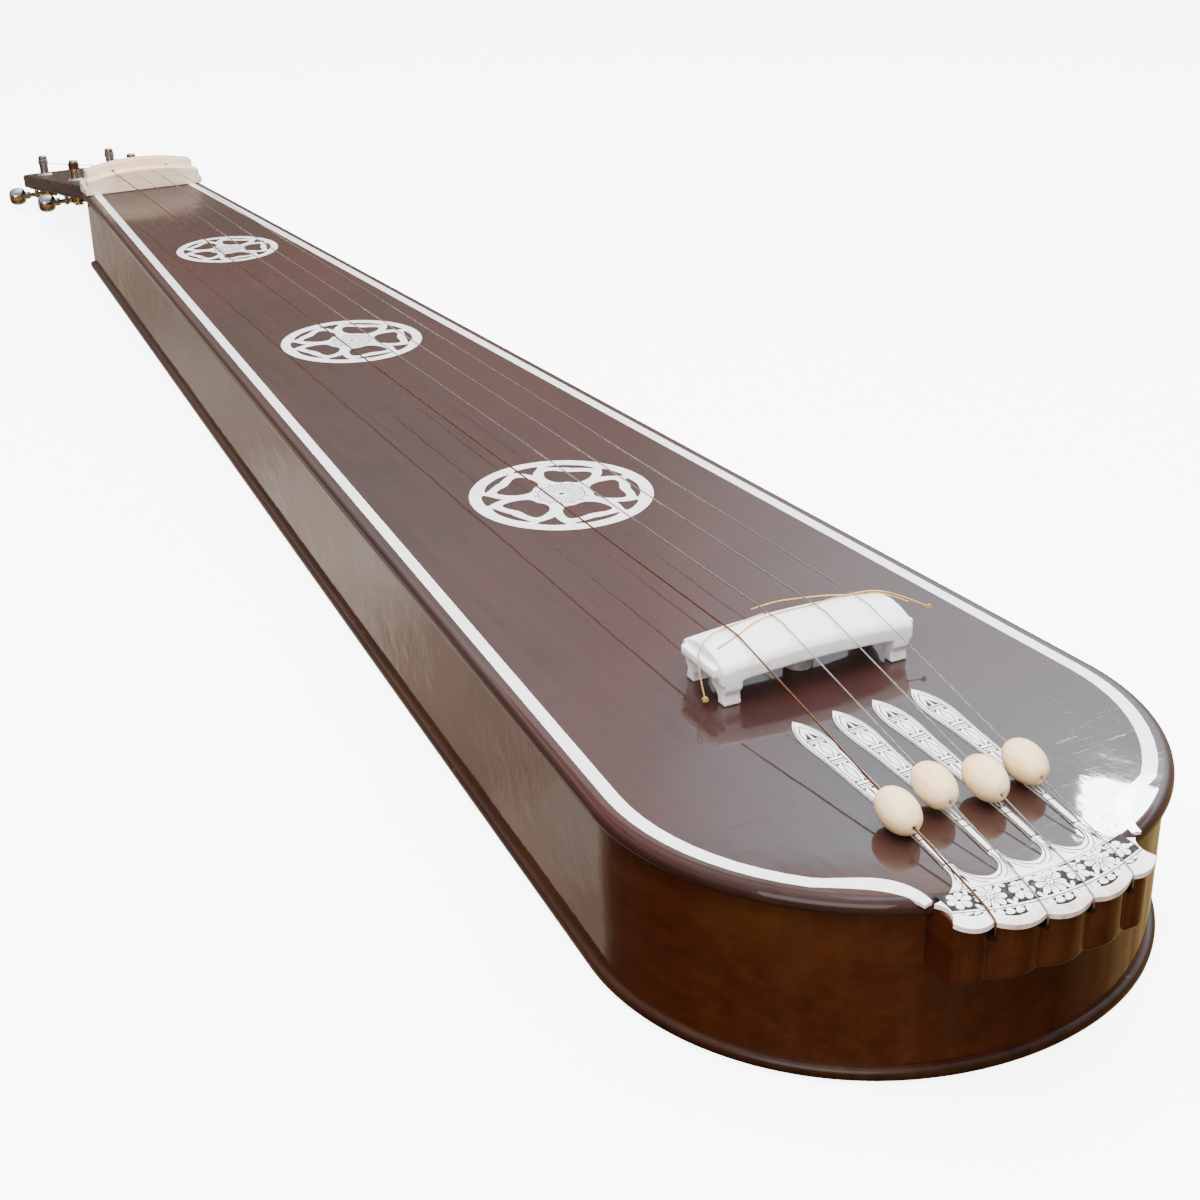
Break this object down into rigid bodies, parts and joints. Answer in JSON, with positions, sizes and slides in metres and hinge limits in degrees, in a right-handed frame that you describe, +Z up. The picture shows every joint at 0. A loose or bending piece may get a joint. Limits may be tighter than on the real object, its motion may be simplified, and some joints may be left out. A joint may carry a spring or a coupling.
{
  "type": "box tanpura",
  "caption": "Long flat tapered drone lute lying on its back, with bridge, engraved tailpiece, tuning beads on the strings and geared pegs on a thin headstock.",
  "frame": {"origin": "on the flat back, under the middle of the overall length and width", "axes": "+Z up out of the playing face, +Y from the tail along the instrument to the headstock, +X to the right when the tail is nearest"},
  "size_m": [0.1786, 1.1167, 0.0759],
  "materials": {
    "rosewood_lacquer": "high-gloss dark red-brown lacquer",
    "side_lacquer": "high-gloss brown lacquer",
    "inner_wood": "raw softwood, not finished",
    "white_inlay": "polished white celluloid under lacquer",
    "engraved_plate": "white celluloid with blackened engraving",
    "bridge_plastic": "satin, filed by hand",
    "foot_wood": "raw dowel end",
    "nut_bone": "cream bone substitute, satin",
    "bead_bone": "polished cream bone substitute",
    "nickel": "nickel-plated pressed steel",
    "chrome": "chrome plated",
    "gear_brass": "machined brass",
    "bronze_string": "drawn bronze wire",
    "steel_string": "drawn steel wire",
    "jiva_cotton": "golden cotton thread"
  },
  "bodies": {
    "tanpura": {"back_plate": "side_lacquer", "rib_left": "side_lacquer", "rib_right": "side_lacquer", "top_plate": "rosewood_lacquer", "head_block": "inner_wood", "tail_block": "inner_wood", "top_lining_left": "inner_wood", "top_lining_right": "inner_wood", "back_lining_left": "inner_wood", "back_lining_right": "inner_wood", "top_braces": "inner_wood", "back_braces": "inner_wood", "inlay_band_left": "white_inlay", "inlay_band_right": "white_inlay", "rosette_large": "white_inlay", "rosette_middle": "white_inlay", "rosette_small": "white_inlay", "tailpiece_plate": "engraved_plate", "tailpiece_fingers": "engraved_plate", "fluted_block": "side_lacquer", "hitch_pins": "gear_brass", "bridge": "bridge_plastic", "bridge_foot": "foot_wood", "nut_front": "nut_bone", "nut_back": "nut_bone", "headstock": "side_lacquer", "tuner_plates": "nickel", "post_bushings": "chrome", "plate_screws": "nickel", "string_1": "bronze_string", "string_2": "steel_string", "string_3": "steel_string", "string_4": "steel_string", "jiva_left": "jiva_cotton", "jiva_long": "jiva_cotton", "jiva_right": "jiva_cotton"},
    "string_post_1": {"tuner_post_1": "chrome", "tuner_gear_1": "gear_brass", "gear_screw_1": "nickel"},
    "tuning_knob_1": {"tuner_knob_1": "chrome", "tuner_worm_1": "chrome"},
    "string_post_2": {"tuner_post_2": "chrome", "tuner_gear_2": "gear_brass", "gear_screw_2": "nickel"},
    "tuning_knob_2": {"tuner_knob_2": "chrome", "tuner_worm_2": "chrome"},
    "string_post_3": {"tuner_post_3": "chrome", "tuner_gear_3": "gear_brass", "gear_screw_3": "nickel"},
    "tuning_knob_3": {"tuner_knob_3": "chrome", "tuner_worm_3": "chrome"},
    "string_post_4": {"tuner_post_4": "chrome", "tuner_gear_4": "gear_brass", "gear_screw_4": "nickel"},
    "tuning_knob_4": {"tuner_knob_4": "chrome", "tuner_worm_4": "chrome"},
    "tuning_bead_1": {"bead_1": "bead_bone"},
    "tuning_bead_2": {"bead_2": "bead_bone"},
    "tuning_bead_3": {"bead_3": "bead_bone"},
    "tuning_bead_4": {"bead_4": "bead_bone"}
  },
  "joints": [
    {"name": "knob_turn_1", "type": "hinge", "parent": "tanpura", "child": "tuning_knob_1", "pos_m": [-0.0198, 0.45323, 0.02085], "axis": [1, 0, 0], "continuous": true},
    {"name": "post_turn_1", "type": "hinge", "parent": "tanpura", "child": "string_post_1", "pos_m": [-0.0198, 0.44747, 0.03519], "axis": [0, 0.1516, 0.9884], "continuous": true},
    {"name": "knob_turn_2", "type": "hinge", "parent": "tanpura", "child": "tuning_knob_2", "pos_m": [-0.0237, 0.53626, 0.00812], "axis": [1, 0, 0], "continuous": true},
    {"name": "post_turn_2", "type": "hinge", "parent": "tanpura", "child": "string_post_2", "pos_m": [-0.0237, 0.5305, 0.02246], "axis": [0, 0.1516, 0.9884], "continuous": true},
    {"name": "knob_turn_3", "type": "hinge", "parent": "tanpura", "child": "tuning_knob_3", "pos_m": [0.0237, 0.53626, 0.00812], "axis": [1, 0, 0], "continuous": true},
    {"name": "post_turn_3", "type": "hinge", "parent": "tanpura", "child": "string_post_3", "pos_m": [0.0237, 0.5305, 0.02246], "axis": [0, 0.1516, 0.9884], "continuous": true},
    {"name": "knob_turn_4", "type": "hinge", "parent": "tanpura", "child": "tuning_knob_4", "pos_m": [0.0198, 0.45323, 0.02085], "axis": [1, 0, 0], "continuous": true},
    {"name": "post_turn_4", "type": "hinge", "parent": "tanpura", "child": "string_post_4", "pos_m": [0.0198, 0.44747, 0.03519], "axis": [0, 0.1516, 0.9884], "continuous": true},
    {"name": "bead_1_slide", "type": "slide", "parent": "tanpura", "child": "tuning_bead_1", "axis": [0.0433, 0.9912, 0.1254], "range_m": [-0.001, 0.06]},
    {"name": "bead_2_slide", "type": "slide", "parent": "tanpura", "child": "tuning_bead_2", "axis": [0.0505, 0.9901, 0.1311], "range_m": [-0.001, 0.06]},
    {"name": "bead_3_slide", "type": "slide", "parent": "tanpura", "child": "tuning_bead_3", "axis": [0.0577, 0.9897, 0.1311], "range_m": [-0.001, 0.06]},
    {"name": "bead_4_slide", "type": "slide", "parent": "tanpura", "child": "tuning_bead_4", "axis": [0.0649, 0.99, 0.1252], "range_m": [-0.001, 0.06]}
  ],
  "couplings": [
    {"joint": "post_turn_1", "follows": "knob_turn_1", "ratio": 0.071429},
    {"joint": "post_turn_2", "follows": "knob_turn_2", "ratio": 0.071429},
    {"joint": "post_turn_3", "follows": "knob_turn_3", "ratio": 0.071429},
    {"joint": "post_turn_4", "follows": "knob_turn_4", "ratio": 0.071429}
  ]
}
